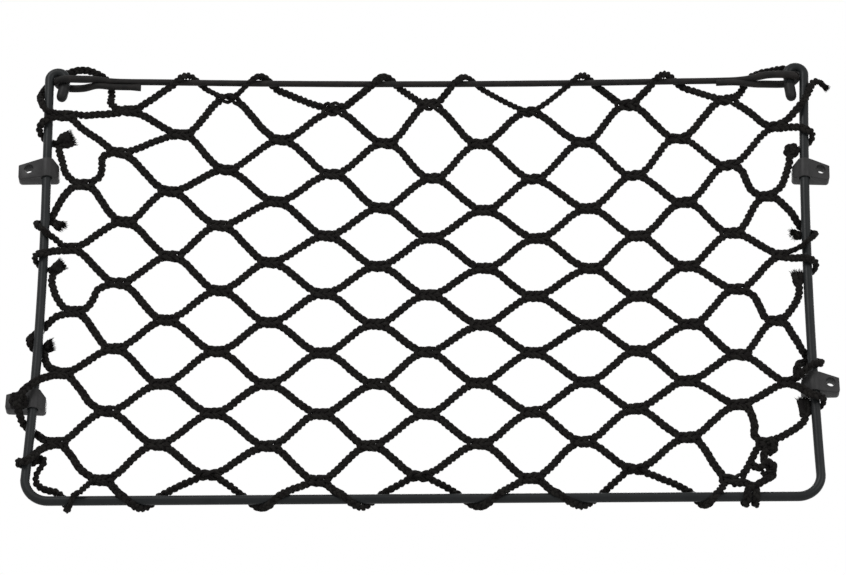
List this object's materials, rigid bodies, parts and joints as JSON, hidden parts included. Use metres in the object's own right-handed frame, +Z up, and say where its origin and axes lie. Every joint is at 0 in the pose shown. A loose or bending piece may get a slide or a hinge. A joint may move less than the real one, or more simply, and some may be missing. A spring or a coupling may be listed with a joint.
{
  "type": "door pocket net with wire frame",
  "caption": "Knotless cord net laced to a bent coated wire frame, with an elastic cord along its open top and screw clips on the side wires.",
  "frame": {"origin": "middle of the door panel's plane behind the frame, which the backs of the clips touch", "axes": "+X to the right seen from the front, +Y into the door, +Z up"},
  "size_m": [0.3587, 0.0135, 0.2175],
  "materials": {
    "coated_wire": "satin charcoal plastic coating on steel wire",
    "clip_plastic": "satin black moulded plastic",
    "net_cord": "matt black braided cord",
    "elastic_cord": "smooth black covered elastic"
  },
  "bodies": {
    "root": {"frame_wire": "coated_wire", "top_elastic": "elastic_cord", "clip_upper_left": "clip_plastic", "clip_upper_right": "clip_plastic", "clip_lower_left": "clip_plastic", "clip_lower_right": "clip_plastic", "net": "net_cord"}
  },
  "joints": []
}
